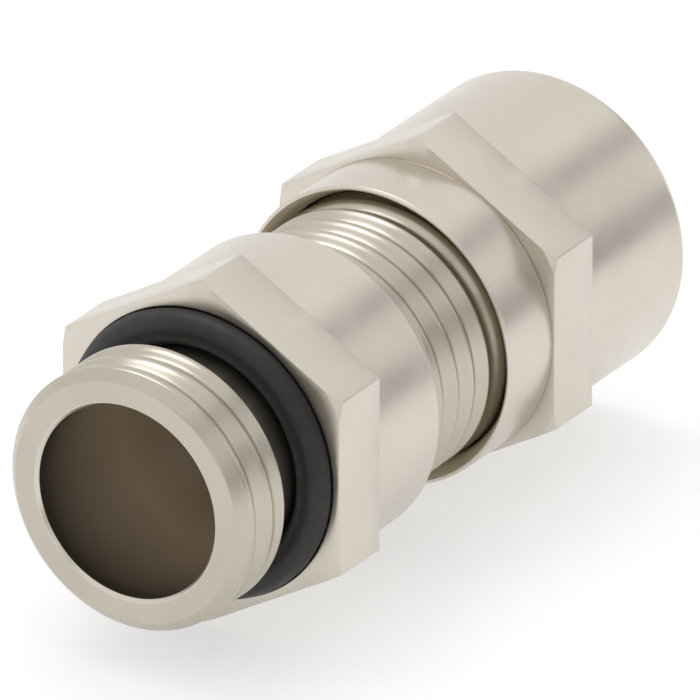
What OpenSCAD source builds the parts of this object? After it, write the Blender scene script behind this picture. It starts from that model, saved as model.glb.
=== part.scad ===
// Metric cable gland, M12 x 1.5 entry thread with 14 mm spanner flats.
// The gland axis is +Y: the entry thread points to -Y and the cable leaves at +Y.
// Y = 0 is the face of the body hexagon that rests on the panel. A hexagon corner points to +Z.
// Stations named *_y are millimetres along the axis from that face.

/* [Entry thread] */
// Outer diameter of the entry thread
entry_d = 12; // [11.8:0.05:12.1]
// Length from the panel face to the end of the entry thread
entry_len = 5.9; // [5.5:0.1:8]
// Length of the thread relief behind the panel face
relief_len = 2.75; // [2.4:0.05:3]
// Diameter of the thread relief
relief_d = 10; // [9.9:0.05:10.1]
// Diameter of the smooth bore for the wires
bore_d = 8.8; // [8.2:0.1:9]

/* [Panel seal] */
// Thickness of the O-ring
ring_section = 1.6; // [1.4:0.05:1.6]
// How far the O-ring centre stands in front of the panel face
ring_proud = 0.15; // [0.15:0.05:0.4]

/* [Hexagons] */
// Spanner size of the body and of the cap nut
across_flats = 14; // [14:0.1:15]
// Length of the body hexagon
body_hex_len = 3.15; // [3:0.05:3.3]
// Length of the cap nut hexagon
nut_hex_len = 3.05; // [2.8:0.05:3.2]
// Diameter at which the turned chamfer cuts the hexagon corners
corner_cut_d = 15.5; // [15:0.1:16]

/* [Body] */
// Diameter of the round barrel behind the body hexagon
barrel_d = 14; // [13.8:0.05:14]
// Y station of the barrel's rear shoulder
shoulder_y = 8; // [7.5:0.1:8.5]
// Y station of the body's rear end, inside the cap nut
body_end_y = 17.2; // [17:0.05:17.2]
// Outer diameter of the cap thread
neck_d = 12.3; // [12.2:0.05:12.3]
// Pitch of the cap thread
neck_pitch = 1.25; // [1:0.25:1.25]

/* [Cap nut] */
// Y station of the nut's front edge
nut_y = 13.6; // [13.4:0.05:13.7]
// Length of the round collar in front of the nut's hexagon
collar_len = 3.35; // [3.2:0.05:3.5]
// Diameter of the collar
collar_d = 13.76; // [13.6:0.02:13.8]
// Total length of the nut
nut_len = 14.2; // [14.1:0.05:14.4]
// Diameter of the round skirt behind the hexagon
skirt_d = 14; // [13.8:0.05:14]
// How far the nut travels when it is tightened
nut_travel = 2.5; // [1.5:0.1:2.5]

/* [Clamping cage] */
// Number of clamping fingers
finger_count = 10; // [8:1:10]
// Angle that one finger covers around the axis
finger_arc = 21; // [18:0.5:21]
// Outer diameter of the fingers
finger_d = 11.2; // [11:0.05:11.2]
// Thickness of a finger
finger_wall = 0.9; // [0.8:0.05:0.9]

/* [Sealing insert] */
// Diameter of the cable hole, the thickest cable that fits
cable_d = 6.5; // [6:0.1:6.5]

/* [Hidden] */

nickel = [0.83, 0.8, 0.76];
black_rubber = [0.17, 0.17, 0.18];
grey_rubber = [0.3, 0.3, 0.31];
polyamide = [0.62, 0.62, 0.6];
slip_white = [0.86, 0.85, 0.8];

entry_r = entry_d / 2;
relief_r = relief_d / 2;
bore_r = bore_d / 2;
neck_r = neck_d / 2;
edge = 0.25;                 // chamfer on turned edges
lead_in = 0.45;              // chamfer at the start of the entry thread
rim_round = 0.8;             // rounding of the cap nut's rear rim
opening_r = 6.7;             // funnel in front of the cap nut's thread
opening_depth = 1.2;
groove_depth = 0.32;         // depth of the rounded thread grooves
fit_gap = 0.02;              // gap between pieces that are pressed or moulded together

// O-ring and the recess that holds it in the panel face
ring_r = relief_r + fit_gap + ring_section / 2;
recess_r = ring_r + ring_section / 2 + fit_gap;
recess_depth = ring_section / 2 - ring_proud + fit_gap;

// Seat of the cage in the rear of the body
socket_r = 4.9;
socket_y = 12.5;
cage_bore_r = 4.1;
flange_y = body_end_y + fit_gap;
seal_seat_y = flange_y + 0.68;
cage_end_y = flange_y + 1.23;

// Fingers: each one swings about a film hinge at its front end
finger_r = finger_d / 2;
finger_in_r = finger_r - finger_wall;
finger_y = cage_end_y + 0.15;
nose_y = finger_y + 5;
tip_y = nose_y + 1.1;
claw_r = 3.7;
claw_y = tip_y - 1.5;

// Sealing insert
seal_r = finger_in_r - 0.08;
seal_y = seal_seat_y + fit_gap;
seal_end_y = seal_y + 4.45;
seal_tail_r = 3.64;

// Rear cone: the slip ring lies in the nut's cone and presses the finger noses
cone_slope = 0.5;
press_r = finger_r + 0.15;
slip_out_r = press_r + 0.29;
slip_y = nose_y - 0.7;
press_y = nose_y - 0.06;
slip_out_y = press_y + 0.41;
slip_end_y = press_y + 3.06;
nut_thread_r = neck_r + 0.1;
nut_bore_r = slip_out_r + 0.06;
nut_bore_y = nut_y + 6.4;
nut_cone_y = slip_out_y + 0.03;
nut_mouth_r = 4.4;
nut_end_y = nut_y + nut_len;
nut_hex_y = nut_y + collar_len;

// Radius on a cone that starts at radius r and station y
function cone_r(r, y, at_y) = r - cone_slope * (at_y - y);

// Rounded ring grooves that stand for the cap nut's thread on a shaft of outer radius r
function grooves(r, first_y, pitch, count) = [
    for (i = [0 : count - 1], t = [-1 : 0.25 : 1])
        [r - groove_depth * pow(cos(90 * t), 2), first_y + pitch * (i + 0.4 * t)]
];

// Outline points that round off an outer edge at radius r and station y
function rim_arc(r, y, round_r) = [
    for (t = [0 : 15 : 90])
        [r - round_r + round_r * cos(t), y - round_r + round_r * sin(t)]
];

// Solid turned about the gland axis from an outline of [radius, station] points
module turned(outline) {
    rotate([-90, 0, 0])
        rotate_extrude($fn = 120)
            polygon(outline);
}

// Hexagon prism from station y_low to y_high with a corner at the top
module hexagon(y_low, y_high) {
    translate([0, y_low, 0])
        rotate([-90, 30, 0])
            cylinder(h = y_high - y_low, r = across_flats / 2 / cos(30), $fn = 6);
}

// Hexagon whose corners are turned off at 30 degrees on its front face
module chamfered_hexagon(y_low, y_high) {
    cut_r = corner_cut_d / 2;
    full_r = across_flats / 2 / cos(30) + 0.2;
    intersection() {
        hexagon(y_low, y_high);
        turned([[0, y_low], [cut_r, y_low], [full_r, y_low + (full_r - cut_r) * tan(30)],
            [full_r, y_high], [0, y_high]]);
    }
}

// Double nipple: entry thread, drawn at its crest diameter, hexagon, barrel and the cap nut's thread
module gland_body() {
    entry_y = -entry_len;
    color(nickel) difference() {
        union() {
            turned([[0, entry_y], [entry_r - lead_in, entry_y], [entry_r, entry_y + lead_in],
                [entry_r, -relief_len], [relief_r, -relief_len], [relief_r, 1], [0, 1]]);
            chamfered_hexagon(0, body_hex_len);
            turned([[0, body_hex_len - 1], [barrel_d / 2, body_hex_len - 1],
                [barrel_d / 2, shoulder_y - edge], [barrel_d / 2 - edge, shoulder_y],
                [0, shoulder_y]]);
            turned(concat(
                [[0, shoulder_y - 1], [neck_r, shoulder_y - 1]],
                grooves(neck_r, shoulder_y + 1.1, neck_pitch, 6),
                [[neck_r, body_end_y - 0.3], [neck_r - 0.3, body_end_y], [0, body_end_y]]));
        }
        turned([[relief_r, -ring_section], [recess_r, -ring_section],
            [recess_r, recess_depth], [relief_r, recess_depth]]);
        turned([[0, entry_y - 1], [bore_r + 0.15, entry_y - 1], [bore_r + 0.15, entry_y],
            [bore_r, entry_y + 0.15], [bore_r, socket_y], [socket_r, socket_y],
            [socket_r, body_end_y + 1], [0, body_end_y + 1]]);
    }
}

// Sealing ring between the panel and the body
module entry_o_ring() {
    color(black_rubber)
        translate([0, -ring_proud, 0])
            rotate([-90, 0, 0])
                rotate_extrude($fn = 120)
                    translate([ring_r, 0])
                        circle(d = ring_section, $fn = 48);
}

// Foot of the clamping cage: a spigot in the body and a flange on its rear end
module cage_ring() {
    spigot_r = socket_r - 2 * fit_gap;
    color(polyamide)
        turned([[cage_bore_r, socket_y + fit_gap], [spigot_r, socket_y + fit_gap],
            [spigot_r, flange_y], [finger_r, flange_y], [finger_r, cage_end_y],
            [seal_r + 0.08, cage_end_y], [seal_r + 0.08, seal_seat_y],
            [cage_bore_r, seal_seat_y]]);
}

// One clamping finger with a toothed claw at its tip; index 1 is the one at +X
module cage_finger(index) {
    tooth = (tip_y - claw_y) / 3;
    half_arc = finger_arc / 2;
    reach = 20;
    color(polyamide)
        rotate([0, -(index - 1) * 360 / finger_count, 0])
            intersection() {
                turned([[finger_in_r, finger_y], [finger_r, finger_y], [finger_r, nose_y],
                    [finger_r - 0.66, tip_y], [claw_r + 0.15, tip_y],
                    [claw_r, tip_y - tooth / 2], [claw_r + 0.15, tip_y - tooth],
                    [claw_r, tip_y - 1.5 * tooth], [claw_r + 0.15, tip_y - 2 * tooth],
                    [claw_r, claw_y + tooth / 2], [finger_in_r, claw_y - 0.8]]);
                rotate([-90, 0, 0])
                    linear_extrude(height = 40)
                        polygon([[0, 0], [reach, reach * tan(half_arc)],
                            [reach, -reach * tan(half_arc)]]);
            }
}

// Rubber sleeve that seals on the cable
module sealing_insert() {
    cable_r = cable_d / 2;
    color(grey_rubber)
        turned([[cable_r + 0.25, seal_y], [seal_r, seal_y], [seal_r, finger_y],
            [seal_tail_r, seal_end_y - 0.15], [seal_tail_r - 0.1, seal_end_y],
            [cable_r + 0.2, seal_end_y], [cable_r, seal_end_y - 0.25], [cable_r, seal_y + 0.25]]);
}

// Low-friction ring between the turning nut and the fingers
module slip_ring() {
    color(slip_white)
        turned([[press_r, slip_y], [slip_out_r, slip_y], [slip_out_r, slip_out_y],
            [cone_r(slip_out_r, slip_out_y, slip_end_y), slip_end_y],
            [cone_r(press_r, press_y, slip_end_y), slip_end_y], [press_r, press_y]]);
}

// Cap nut: collar, hexagon and the long round skirt with the cable mouth
module cap_nut() {
    collar_r = collar_d / 2;
    skirt_r = skirt_d / 2;
    mouth_y = nut_cone_y + (nut_bore_r - nut_mouth_r) / cone_slope;
    color(nickel) difference() {
        union() {
            turned([[0, nut_y], [collar_r - edge, nut_y], [collar_r, nut_y + edge],
                [collar_r, nut_hex_y + 1], [0, nut_hex_y + 1]]);
            chamfered_hexagon(nut_hex_y, nut_hex_y + nut_hex_len);
            turned(concat(
                [[0, nut_hex_y + nut_hex_len - 1], [skirt_r, nut_hex_y + nut_hex_len - 1]],
                rim_arc(skirt_r, nut_end_y, rim_round), [[0, nut_end_y]]));
        }
        turned([[0, nut_y - 1], [opening_r, nut_y - 1], [opening_r, nut_y],
            [nut_thread_r, nut_y + opening_depth], [nut_thread_r, nut_bore_y],
            [nut_bore_r, nut_bore_y],
            [nut_bore_r, nut_cone_y], [nut_mouth_r, mouth_y],
            [nut_mouth_r + 0.4, nut_end_y], [nut_mouth_r + 0.4, nut_end_y + 1],
            [0, nut_end_y + 1]]);
    }
}

gland_body();
entry_o_ring();
cage_ring();
cage_finger(1);  // cage_finger_01
cage_finger(2);  // cage_finger_02
cage_finger(3);  // cage_finger_03
cage_finger(4);  // cage_finger_04
cage_finger(5);  // cage_finger_05
cage_finger(6);  // cage_finger_06
cage_finger(7);  // cage_finger_07
cage_finger(8);  // cage_finger_08
cage_finger(9);  // cage_finger_09
cage_finger(10);  // cage_finger_10
sealing_insert();
slip_ring();
cap_nut();
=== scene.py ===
"""Cable gland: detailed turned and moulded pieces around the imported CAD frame, in metres."""
import math
import bpy
import numpy as np
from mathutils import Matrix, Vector


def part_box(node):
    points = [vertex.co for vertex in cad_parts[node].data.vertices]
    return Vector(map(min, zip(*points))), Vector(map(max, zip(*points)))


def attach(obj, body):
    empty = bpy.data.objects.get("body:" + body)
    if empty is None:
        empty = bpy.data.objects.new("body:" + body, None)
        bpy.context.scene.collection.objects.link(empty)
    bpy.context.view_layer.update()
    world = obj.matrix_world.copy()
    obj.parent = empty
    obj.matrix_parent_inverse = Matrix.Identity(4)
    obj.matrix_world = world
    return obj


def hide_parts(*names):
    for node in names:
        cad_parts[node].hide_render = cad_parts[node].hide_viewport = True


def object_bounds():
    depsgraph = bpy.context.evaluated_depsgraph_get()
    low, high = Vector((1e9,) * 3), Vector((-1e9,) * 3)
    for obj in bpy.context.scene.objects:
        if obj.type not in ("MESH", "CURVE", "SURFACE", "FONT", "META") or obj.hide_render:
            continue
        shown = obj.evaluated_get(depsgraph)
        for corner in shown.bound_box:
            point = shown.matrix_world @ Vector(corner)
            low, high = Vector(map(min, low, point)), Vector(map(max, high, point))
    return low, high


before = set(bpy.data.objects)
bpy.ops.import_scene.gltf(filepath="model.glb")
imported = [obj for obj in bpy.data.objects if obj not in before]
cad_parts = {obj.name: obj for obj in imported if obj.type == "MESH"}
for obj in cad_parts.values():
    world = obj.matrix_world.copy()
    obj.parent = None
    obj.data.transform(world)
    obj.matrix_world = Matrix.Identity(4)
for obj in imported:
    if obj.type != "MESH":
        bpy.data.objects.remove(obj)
cad_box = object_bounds()

MM = 0.001
TAU = 2 * math.pi


# ---------------------------------------------------------------- sizes, in millimetres

def span(node):
    """(lowest, highest) station of a CAD node along the gland's axis, in millimetres."""
    low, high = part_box(node)
    return low.y / MM, high.y / MM


ENTRY_Y, BODY_END_Y = span("gland_body")
NUT_Y, NUT_END_Y = span("cap_nut")
RING_Y = span("entry_o_ring")
SEAL_Y = span("sealing_insert")

# Hexagons and the round parts that are as wide as their flats
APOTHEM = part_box("cap_nut")[1].x / MM    # half the spanner size
ROUND_R = APOTHEM - 0.012                # barrel and skirt, a hair under the flats
CORNER_CUT_R = 7.75                      # the turned chamfer on the hexagon corners starts here
CORNER_ROUND = 0.09
HEX_EDGE = 0.04                          # edge rounding of the hexagon's faces
BODY_HEX_END = 3.15
NUT_HEX_Y = NUT_Y + 3.35
NUT_HEX_END = NUT_HEX_Y + 3.05

# Body
ENTRY_R = 6.0
LEAD_IN = 0.45                           # chamfer at the start of the entry thread
RELIEF_R = 5.0
RELIEF_Y = -2.75
BORE_R = 4.4
BORE_EDGE = 0.15
SHOULDER_Y = 8.0
NECK_R = 6.15
UNDERCUT = 0.3                           # turned off the neck at both ends of its thread
SOCKET_R = 4.9
SOCKET_Y = 12.5

# Cap nut
COLLAR_R = 6.88
OPENING_R = 6.7                          # wide end of the funnel in front of the thread
THREAD_END_Y = NUT_Y + 6.4
CONE_Y = NUT_Y + 10.4
MOUTH_R = 4.4
MOUTH_FLARE = 0.4
RIM_ROUND = 0.6

# Threads
ENTRY_PITCH = 1.5
NECK_PITCH = 1.25
THREAD_DEPTH = 0.32
NUT_THREAD_R = NECK_R + 0.1
NUT_THREAD_DEPTH = 0.12
FLANK = 1.1                              # above 1 widens the crests and narrows the grooves

# O-ring and its recess in the panel face
RING_SECTION = RING_Y[1] - RING_Y[0]
RING_MID_Y = (RING_Y[0] + RING_Y[1]) / 2
RING_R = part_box("entry_o_ring")[1].x / MM - RING_SECTION / 2
RECESS_R = RING_R + RING_SECTION / 2 + 0.02
RECESS_DEPTH = RING_Y[1] + 0.02
PARTING_LINE = 0.012                     # height of the line that the ring's mould leaves
PARTING_WIDTH = 0.05                     # its half width, as a sine of the angle round the section

# Seal
SEAL_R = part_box("sealing_insert")[1].x / MM
SEAL_HOLE_R = 3.25
SEAL_TAIL_R = 3.64
SEAL_SHOULDER = 0.7                      # length of the full-width part, before the tail narrows
LIPS = 3
LIP_HEIGHT = 0.16

# CAD nodes that stay
MOULDED_EDGE = 0.05                      # edge rounding

# Fineness of the meshes
TURN_STEPS = 240
CORNER_STEPS = (-0.7, -0.5, -0.33, -0.17, 0.17, 0.33, 0.5, 0.7)    # degrees either side of a corner
SMALL_ARC_STEPS = 5
LARGE_ARC_STEPS = 12
ROWS_A_PITCH = 22
RING_STEPS = 64
LIP_STEPS = 36
SHARP_ANGLE = math.radians(32)


# ---------------------------------------------------------------- meshes turned about the gland's axis

def turning_angles(corners):
    """Angles round the axis; with corners, extra ones where the hexagon's corners are rounded off."""
    angles = list(np.arange(TURN_STEPS) * TAU / TURN_STEPS)
    if corners:
        for corner in range(6):
            middle = math.radians(30 + 60 * corner)
            angles += [middle + math.radians(degrees) for degrees in CORNER_STEPS]
    return np.array(sorted(angles))


def hexagon_radius(angles):
    """Radius of the rounded hexagon, with a corner at +Z, at each angle."""
    off = np.abs(angles % math.radians(60) - math.radians(30))
    flat = APOTHEM / np.cos(math.radians(30) - off)
    centre = (APOTHEM - CORNER_ROUND) / math.cos(math.radians(30))
    reach = np.maximum(CORNER_ROUND ** 2 - (centre * np.sin(off)) ** 2, 0)
    rounded = centre * np.cos(off) + np.sqrt(reach)
    tangent = math.atan2(CORNER_ROUND * 0.5, centre + CORNER_ROUND * math.cos(math.radians(30)))
    return np.where(off < tangent, rounded, flat)


def fillet(before, corner, after, radius):
    """Points of an arc of that radius in place of the corner of an outline."""
    p, a, b = np.array(corner), np.array(before), np.array(after)
    u = (a - p) / np.linalg.norm(a - p)
    v = (b - p) / np.linalg.norm(b - p)
    half = math.acos(float(np.clip(u @ v, -1, 1))) / 2
    reach = radius / math.tan(half)
    middle = p + (u + v) / np.linalg.norm(u + v) * radius / math.sin(half)
    start, end = p + u * reach - middle, p + v * reach - middle
    points = []
    steps = SMALL_ARC_STEPS if radius < 0.5 else LARGE_ARC_STEPS
    for i in range(steps + 1):
        t = i / steps
        arc = start * (1 - t) + end * t
        points.append(tuple(middle + arc / np.linalg.norm(arc) * radius))
    return points


def outline(*points):
    """Rows of an open outline of (radius, station) or (radius, station, fillet radius) points."""
    rows = []
    for i, point in enumerate(points):
        if len(point) == 2:
            rows.append(tuple(point[:2]))
        else:
            rows += fillet(points[i - 1][:2], point[:2], points[i + 1][:2], point[2])
    return rows


def hexagon_rows(angles, low, high, core_r):
    """Rows of a hexagon with its front corners turned off at 30 degrees, and a round core behind it."""
    hexagon = hexagon_radius(angles)
    edge = HEX_EDGE
    slope = math.tan(math.radians(30))
    front = np.minimum(hexagon, CORNER_CUT_R)
    chamfer_y = low + edge + np.maximum(hexagon - CORNER_CUT_R, 0) * slope
    return [
        (front - edge, np.full_like(angles, low)),
        (front - edge * 0.3, np.full_like(angles, low + edge * 0.3)),
        (hexagon - edge * 0.3, chamfer_y - edge * 0.3),
        (hexagon, chamfer_y + edge * 0.5),
        (hexagon, np.full_like(angles, high - edge)),
        (np.maximum(hexagon - edge * 0.3, core_r + 0.008), np.full_like(angles, high - edge * 0.3)),
        (np.maximum(hexagon - edge, core_r + 0.004), np.full_like(angles, high)),
        (np.full_like(angles, core_r), np.full_like(angles, high + 0.02)),
    ]


def thread_rows(angles, radius, depth, pitch, low, high, inward=False, runout=0.5):
    """Rows of a right-hand thread with rounded flanks, which fades in and out over runout pitches."""
    rows = []
    steps = max(2, round((high - low) / pitch * ROWS_A_PITCH))
    for i in range(steps + 1):
        y = low + (high - low) * i / steps
        phase = (y / pitch + angles / TAU) * TAU
        groove = (0.5 + 0.5 * np.cos(phase)) ** FLANK
        near_end = max(0.0, min(1.0, (y - low) / (runout * pitch), (high - y) / (runout * pitch)))
        fade = near_end * near_end * (3 - 2 * near_end)
        cut = depth * groove * fade
        rows.append((radius + cut if inward else radius - cut, np.full_like(angles, y)))
    return rows


def turned_piece(name, rows, angles):
    """A closed ring-shaped piece whose rows go once round its section, smooth up to SHARP_ANGLE."""
    count = len(angles)
    r = np.array([np.broadcast_to(np.asarray(row[0], float), (count,)) for row in rows])
    y = np.array([np.broadcast_to(np.asarray(row[1], float), (count,)) for row in rows])
    co = np.stack([r * np.cos(angles), y, r * np.sin(angles)], axis=-1).reshape(-1, 3) * MM
    i, j = np.meshgrid(np.arange(len(rows)), np.arange(count), indexing="ij")
    i2, j2 = (i + 1) % len(rows), (j + 1) % count
    corners = [i * count + j, i2 * count + j, i2 * count + j2, i * count + j2]
    faces = np.stack(corners, axis=-1).reshape(-1, 4)
    a, b, c, d = (co[faces[:, corner]] for corner in range(4))
    volume = np.einsum("ij,ij->", a, np.cross(b, c)) + np.einsum("ij,ij->", a, np.cross(c, d))
    if volume < 0:
        faces = faces[:, ::-1]
    mesh = bpy.data.meshes.new(name)
    mesh.from_pydata(co.tolist(), [], faces.tolist())
    mesh.validate()
    mesh.polygons.foreach_set("use_smooth", [True] * len(mesh.polygons))
    mesh.set_sharp_from_angle(angle=SHARP_ANGLE)
    piece = bpy.data.objects.new(name, mesh)
    bpy.context.scene.collection.objects.link(piece)
    return piece


# ---------------------------------------------------------------- pieces

def make_gland_body():
    """Double nipple: entry thread, hexagon, barrel and the thread for the cap nut."""
    angles = turning_angles(corners=True)
    entry_start = ENTRY_Y + 0.6
    neck_start = SHOULDER_Y + 0.9
    neck_root = NECK_R - UNDERCUT
    rows = outline((BORE_R, 6), (BORE_R, ENTRY_Y + BORE_EDGE, 0.06),
                   (BORE_R + BORE_EDGE, ENTRY_Y, 0.06), (ENTRY_R - LEAD_IN, ENTRY_Y, 0.15),
                   (ENTRY_R, ENTRY_Y + LEAD_IN, 0.2), (ENTRY_R, entry_start))
    rows += thread_rows(angles, ENTRY_R, THREAD_DEPTH, ENTRY_PITCH, entry_start, RELIEF_Y - 0.1)
    rows += outline((ENTRY_R, RELIEF_Y - 0.09), (ENTRY_R, RELIEF_Y, 0.05), (RELIEF_R, RELIEF_Y, 0.12),
                    (RELIEF_R, RECESS_DEPTH, 0.05), (RECESS_R, RECESS_DEPTH, 0.05), (RECESS_R, 0, 0.05),
                    (RECESS_R + 0.2, 0))
    rows += hexagon_rows(angles, 0, BODY_HEX_END, ROUND_R)
    rows += outline((ROUND_R, BODY_HEX_END + 0.1), (ROUND_R, SHOULDER_Y, 0.22),
                    (neck_root, SHOULDER_Y, 0.1), (neck_root, SHOULDER_Y + 0.5, 0.1),
                    (NECK_R, SHOULDER_Y + 0.7, 0.08), (NECK_R, neck_start))
    rows += thread_rows(angles, NECK_R, THREAD_DEPTH, NECK_PITCH, neck_start, BODY_END_Y - 0.4,
                        runout=0.35)
    rows += outline((NECK_R, BODY_END_Y - 0.39), (NECK_R, BODY_END_Y - UNDERCUT, 0.05),
                    (neck_root, BODY_END_Y, 0.05), (SOCKET_R, BODY_END_Y, 0.05),
                    (SOCKET_R, SOCKET_Y, 0.1), (BORE_R, SOCKET_Y, 0.05), (BORE_R, 10))
    return turned_piece("gland_body_turned", rows, angles)


def make_cap_nut():
    """Cap nut: collar, hexagon, long skirt, and inside it the thread and the cone of the cable mouth."""
    angles = turning_angles(corners=True)
    bore_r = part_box("slip_ring")[1].x / MM + 0.06
    rows = outline((NUT_THREAD_R, NUT_Y + 1.35), (NUT_THREAD_R, NUT_Y + 1.2, 0.1),
                   (OPENING_R, NUT_Y, 0.03), (COLLAR_R - 0.1, NUT_Y, 0.02),
                   (COLLAR_R, NUT_Y + 0.12, 0.06), (COLLAR_R, NUT_HEX_Y - 0.1, 0.05),
                   (COLLAR_R - 0.1, NUT_HEX_Y, 0.03), (COLLAR_R, NUT_HEX_Y))
    rows += hexagon_rows(angles, NUT_HEX_Y, NUT_HEX_END, ROUND_R)
    rows += outline((ROUND_R, NUT_HEX_END + 0.1), (ROUND_R, NUT_END_Y, RIM_ROUND),
                    (MOUTH_R + MOUTH_FLARE, NUT_END_Y, 0.15), (MOUTH_R, NUT_END_Y - MOUTH_FLARE, 0.15),
                    (bore_r, CONE_Y, 0.3), (bore_r, THREAD_END_Y, 0.05),
                    (NUT_THREAD_R, THREAD_END_Y, 0.05), (NUT_THREAD_R, THREAD_END_Y - 0.2))
    rows += thread_rows(angles, NUT_THREAD_R, NUT_THREAD_DEPTH, NECK_PITCH, THREAD_END_Y - 0.3,
                        NUT_Y + 1.4, inward=True)
    return turned_piece("cap_nut_turned", rows, angles)


def make_o_ring():
    """Panel O-ring with the faint parting line that its mould leaves."""
    angles = turning_angles(corners=False)
    rows = []
    for k in range(RING_STEPS):
        t = TAU * k / RING_STEPS
        line = PARTING_LINE * math.exp(-(math.sin(t) / PARTING_WIDTH) ** 2) if math.cos(t) > 0 else 0
        r = RING_SECTION / 2 - PARTING_LINE + line
        rows.append((RING_R + r * math.cos(t), RING_MID_Y + r * math.sin(t)))
    return turned_piece("entry_o_ring_moulded", rows, angles)


def make_seal():
    """Sealing sleeve with soft lips in its cable hole."""
    angles = turning_angles(corners=False)
    low, high = SEAL_Y
    rows = outline((SEAL_HOLE_R + 0.3, low, 0.05), (SEAL_R, low, 0.1),
                   (SEAL_R, low + SEAL_SHOULDER, 0.3), (SEAL_TAIL_R, high - 0.15, 0.08),
                   (SEAL_TAIL_R - 0.12, high, 0.05), (SEAL_HOLE_R + 0.25, high))
    for i in range(LIP_STEPS + 1):
        t = i / LIP_STEPS
        lip = (0.5 - 0.5 * math.cos(TAU * LIPS * t)) ** 0.7
        y = high - 0.12 - (high - low - 0.24) * t
        rows.append((SEAL_HOLE_R + LIP_HEIGHT * lip * (1 - 0.5 * t), y))
    rows.append((SEAL_HOLE_R + 0.25, low))
    return turned_piece("sealing_insert_moulded", rows, angles)


# ---------------------------------------------------------------- materials

def new_material(name, color, roughness, metallic=0.0):
    """A principled material, with its nodes, links and shader."""
    material = bpy.data.materials.new(name)
    material.use_nodes = True
    nodes, links = material.node_tree.nodes, material.node_tree.links
    shader = nodes["Principled BSDF"]
    shader.inputs["Base Color"].default_value = (*color, 1)
    shader.inputs["Roughness"].default_value = roughness
    shader.inputs["Metallic"].default_value = metallic
    return material, nodes, links, shader


def ramp(nodes, links, source, low, high, at=(0.0, 1.0)):
    """Maps a value through a colour ramp from low to high and returns its output."""
    node = nodes.new("ShaderNodeValToRGB")
    for stop, value, place in zip(node.color_ramp.elements, (low, high), at):
        stop.color = (value, value, value, 1) if isinstance(value, float) else (*value, 1)
        stop.position = place
    links.new(source, node.inputs[0])
    return node.outputs[0]


def noise(nodes, links, coordinates, scale, detail):
    """Noise of that scale, per metre, on the object's own coordinates."""
    node = nodes.new("ShaderNodeTexNoise")
    node.inputs["Scale"].default_value = scale
    node.inputs["Detail"].default_value = detail
    links.new(coordinates, node.inputs["Vector"])
    return node.outputs[0]


def bump(nodes, links, shader, height, strength):
    """Lets a height pattern of up to 0.02 mm tilt the shader's surface."""
    node = nodes.new("ShaderNodeBump")
    node.inputs["Strength"].default_value = strength
    node.inputs["Distance"].default_value = 0.02 * MM
    links.new(height, node.inputs["Height"])
    links.new(node.outputs[0], shader.inputs["Normal"])


def nickel(name, dark, light):
    """Satin nickel plating on turned brass: fine turning lines and a slightly uneven tone."""
    material, nodes, links, shader = new_material(name, light, 0.3, 1.0)
    place = nodes.new("ShaderNodeTexCoord").outputs["Object"]
    tone = noise(nodes, links, place, 260, 3)
    links.new(ramp(nodes, links, tone, dark, light, (0.3, 0.7)), shader.inputs["Base Color"])
    wear = noise(nodes, links, place, 500, 3)
    links.new(ramp(nodes, links, wear, 0.27, 0.34, (0.35, 0.7)), shader.inputs["Roughness"])
    stretch = nodes.new("ShaderNodeMapping")
    stretch.inputs["Scale"].default_value = (40, 5000, 40)       # squeezed along the axis into rings
    links.new(place, stretch.inputs["Vector"])
    lines = noise(nodes, links, stretch.outputs[0], 1, 2)
    bump(nodes, links, shader, lines, 0.025)
    return material


def bore_metal_painted_shade(name, near, deep):
    """Bare drilled brass with painted shade and painted light: base colour painted dark at the mouth of
    the bore and light further in.
    """
    material, nodes, links, shader = new_material(name, deep, 0.42, 0.7)
    split = nodes.new("ShaderNodeSeparateXYZ")
    links.new(nodes.new("ShaderNodeTexCoord").outputs["Object"], split.inputs[0])
    depth = nodes.new("ShaderNodeMapRange")
    depth.inputs["From Min"].default_value = (ENTRY_Y + 0.4) * MM
    depth.inputs["From Max"].default_value = (ENTRY_Y + 6.4) * MM
    links.new(split.outputs["Y"], depth.inputs["Value"])
    # painted shade and light: base colour ramps from dark at the bore's mouth to light deep inside
    links.new(ramp(nodes, links, depth.outputs[0], near, deep), shader.inputs["Base Color"])
    return material


def moulded(name, dark, light, roughness, grain):
    """Moulded rubber or plastic: a slightly mottled colour and a fine matt grain."""
    material, nodes, links, shader = new_material(name, dark, roughness)
    place = nodes.new("ShaderNodeTexCoord").outputs["Object"]
    tone = noise(nodes, links, place, 700, 4)
    links.new(ramp(nodes, links, tone, dark, light, (0.3, 0.72)), shader.inputs["Base Color"])
    matt = noise(nodes, links, place, 1600, 3)
    spread = ramp(nodes, links, matt, roughness - 0.06, roughness + 0.06, (0.3, 0.7))
    links.new(spread, shader.inputs["Roughness"])
    fine = noise(nodes, links, place, grain, 2)
    bump(nodes, links, shader, fine, 0.12)
    return material


def finish_piece(piece, material, body, slot, *replaced):
    """Gives a piece its material, the body it rides on and the CAD nodes it stands for; the slot
    argument is not used.
    """
    piece.data.materials.append(material)
    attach(piece, body)
    if replaced:
        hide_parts(*replaced)
    return piece


def paint_inside(piece, material, radius):
    """Gives the faces that look towards the axis, inside that radius, a second material."""
    piece.data.materials.append(material)
    for face in piece.data.polygons:
        middle, normal = face.center, face.normal
        inward = middle.x * normal.x + middle.z * normal.z < 0
        if inward and math.hypot(middle.x, middle.z) < radius * MM:
            face.material_index = 1


def paint_outside(piece, material, stations):
    """Gives the faces that look away from the axis, between two stations, another material."""
    slots = piece.data.materials
    if material.name not in slots:
        slots.append(material)
    for face in piece.data.polygons:
        middle, normal = face.center, face.normal
        outward = middle.x * normal.x + middle.z * normal.z > -1e-9
        if outward and stations[0] * MM - 1e-6 < middle.y < stations[1] * MM:
            face.material_index = slots.find(material.name)


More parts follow.
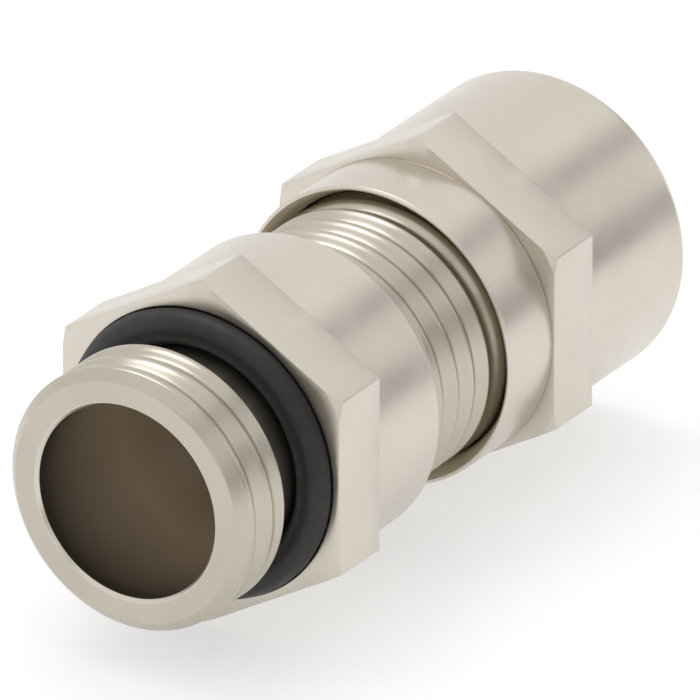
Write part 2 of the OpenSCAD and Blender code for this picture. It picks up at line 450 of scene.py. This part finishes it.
def paint_node(node, material):
    """Gives a CAD node that stays its finished material and soft moulded edges."""
    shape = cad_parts[node]
    bevel = shape.modifiers.new("moulded_edges", "BEVEL")
    bevel.width = MOULDED_EDGE * MM
    bevel.segments = 3
    bevel.limit_method = "ANGLE"
    bevel.angle_limit = math.radians(40)
    if not shape.material_slots:
        shape.data.materials.append(material)
    for material_slot in shape.material_slots:
        material_slot.material = material


plating = nickel("nickel_plating", (0.63, 0.585, 0.515), (0.665, 0.62, 0.55))
# a darker copy of the nickel plating: painted shade on the threaded parts
thread_nickel_painted_shade = nickel("thread_nickel_painted_shade", (0.5, 0.46, 0.39), (0.54, 0.5, 0.43))
# painted shade in the bore: dark colour near the mouth, painted light deeper in
bore_brass_painted_shade = bore_metal_painted_shade("bore_brass_painted_shade", (0.07, 0.06, 0.045), (0.9, 0.79, 0.62))
# unplated brass inside the cap nut, partly real colour and partly painted light: made lighter to lift
# the shade in the gap round the neck
inner_brass_painted_light = moulded("inner_brass_painted_light", (0.74, 0.66, 0.5), (0.8, 0.72, 0.55), 0.7, 3000)
ring_rubber = moulded("black_rubber", (0.006, 0.006, 0.0065), (0.012, 0.012, 0.0125), 0.5, 9000)
seal_rubber = moulded("seal_rubber", (0.018, 0.018, 0.018), (0.03, 0.03, 0.03), 0.6, 7000)
cage_plastic = moulded("grey_polyamide", (0.24, 0.24, 0.235), (0.29, 0.29, 0.28), 0.45, 5000)
slip_plastic = moulded("natural_acetal", (0.68, 0.67, 0.62), (0.74, 0.73, 0.69), 0.4, 5000)

gland_body = finish_piece(make_gland_body(), plating, "gland_body", "body_nickel", "gland_body")
paint_inside(gland_body, bore_brass_painted_shade, BORE_R + 0.03)
# painted shade: the outer faces of both threads get the darker nickel copy
paint_outside(gland_body, thread_nickel_painted_shade, (ENTRY_Y, RELIEF_Y))
paint_outside(gland_body, thread_nickel_painted_shade, (SHOULDER_Y + 0.2, BODY_END_Y))
cap_nut = finish_piece(make_cap_nut(), plating, "cap_nut", "nut_nickel", "cap_nut")
# painted light: the nut's inside faces get the light matt brass
paint_inside(cap_nut, inner_brass_painted_light, OPENING_R - 0.02)
finish_piece(make_o_ring(), ring_rubber, "gland_body", "ring_rubber", "entry_o_ring")
finish_piece(make_seal(), seal_rubber, "gland_body", "seal_rubber", "sealing_insert")
paint_node("cage_ring", cage_plastic)
for index in range(1, 11):
    paint_node(f"cage_finger_{index:02d}", cage_plastic)
paint_node("slip_ring", slip_plastic)


# ---------------------------------------------------------------- floor, light and camera

def make_floor():
    """Pale table under the lowest hexagon corner, lit a little from within."""
    half = 0.1
    sides = ((-half, -half), (half, -half), (half, half), (-half, half))
    mesh = bpy.data.meshes.new("floor")
    mesh.from_pydata([(x, y, cad_box[0].z) for x, y in sides], [], [(0, 1, 2, 3)])
    floor = bpy.data.objects.new("floor", mesh)
    bpy.context.scene.collection.objects.link(floor)
    material, nodes, links, shader = new_material("floor_white", (0.55, 0.55, 0.55), 0.9)
    shader.inputs["Emission Color"].default_value = (1, 1, 1, 1)
    shader.inputs["Emission Strength"].default_value = 0.5
    floor.data.materials.append(material)


def make_softbox(name, direction, distance, width, height, power):
    """Area light in that direction from the gland, aimed at its middle."""
    light = bpy.data.lights.new(name, "AREA")
    light.shape = "RECTANGLE"
    light.size = width
    light.size_y = height
    light.energy = power
    lamp = bpy.data.objects.new(name, light)
    towards = Vector(direction).normalized()
    lamp.location = MIDDLE + towards * distance
    lamp.rotation_euler = towards.to_track_quat("Z", "Y").to_euler()
    bpy.context.scene.collection.objects.link(lamp)


def make_world(levels):
    """Pale surroundings in broad soft strips, as (place, grey level) stops over a slanting direction."""
    world = bpy.data.worlds.new("studio")
    bpy.context.scene.world = world
    world.use_nodes = True
    nodes, links = world.node_tree.nodes, world.node_tree.links
    slant = nodes.new("ShaderNodeVectorMath")
    slant.operation = "DOT_PRODUCT"
    slant.inputs[1].default_value = (0.5, 0, -0.5)
    links.new(nodes.new("ShaderNodeTexCoord").outputs["Generated"], slant.inputs[0])
    centred = nodes.new("ShaderNodeMath")
    centred.inputs[1].default_value = 0.5
    links.new(slant.outputs["Value"], centred.inputs[0])
    strips = nodes.new("ShaderNodeValToRGB")
    strips.color_ramp.interpolation = "EASE"
    elements = strips.color_ramp.elements
    while len(elements) < len(levels):
        elements.new(0.5)
    for element, (place, level) in zip(elements, levels):
        element.position = (place + 1) / 2
        element.color = (level, level * 0.995, level * 0.985, 1)
    links.new(centred.outputs[0], strips.inputs[0])
    links.new(strips.outputs[0], nodes["Background"].inputs["Color"])


def make_camera(azimuth, elevation, target, width, lens):
    """Long lens aimed at the target, whose plane it shows over the given width."""
    camera = bpy.data.cameras.new("camera")
    camera.lens = lens
    camera.sensor_width = 36
    camera.clip_start = 0.01
    camera.clip_end = 10
    distance = width * lens / camera.sensor_width
    az, el = math.radians(azimuth), math.radians(elevation)
    towards = Vector((math.sin(az) * math.cos(el), -math.cos(az) * math.cos(el), math.sin(el)))
    holder = bpy.data.objects.new("camera", camera)
    holder.location = target + towards * distance
    holder.rotation_euler = towards.to_track_quat("Z", "Y").to_euler()
    bpy.context.scene.collection.objects.link(holder)
    bpy.context.scene.camera = holder


# Two darker strips, at -0.25 and 0.62, make the bands on the barrel and the skirt
STRIPS = [(-1.0, 0.95), (-0.48, 1.05), (-0.25, 0.5), (0.02, 0.95),
          (0.3, 0.95), (0.62, 0.4), (0.95, 0.95)]
MIDDLE = Vector((0, (cad_box[0].y + cad_box[1].y) / 2, 0))
bpy.context.scene.view_settings.view_transform = "Standard"
make_floor()
make_world(STRIPS)
make_softbox("top_softbox", direction=(-0.35, 0.1, 1.0), distance=0.4, width=0.2, height=0.2, power=0.3)
make_camera(azimuth=32.66, elevation=25.4, target=Vector((0, 0.01172, 0.00012)), width=0.0299, lens=1500)
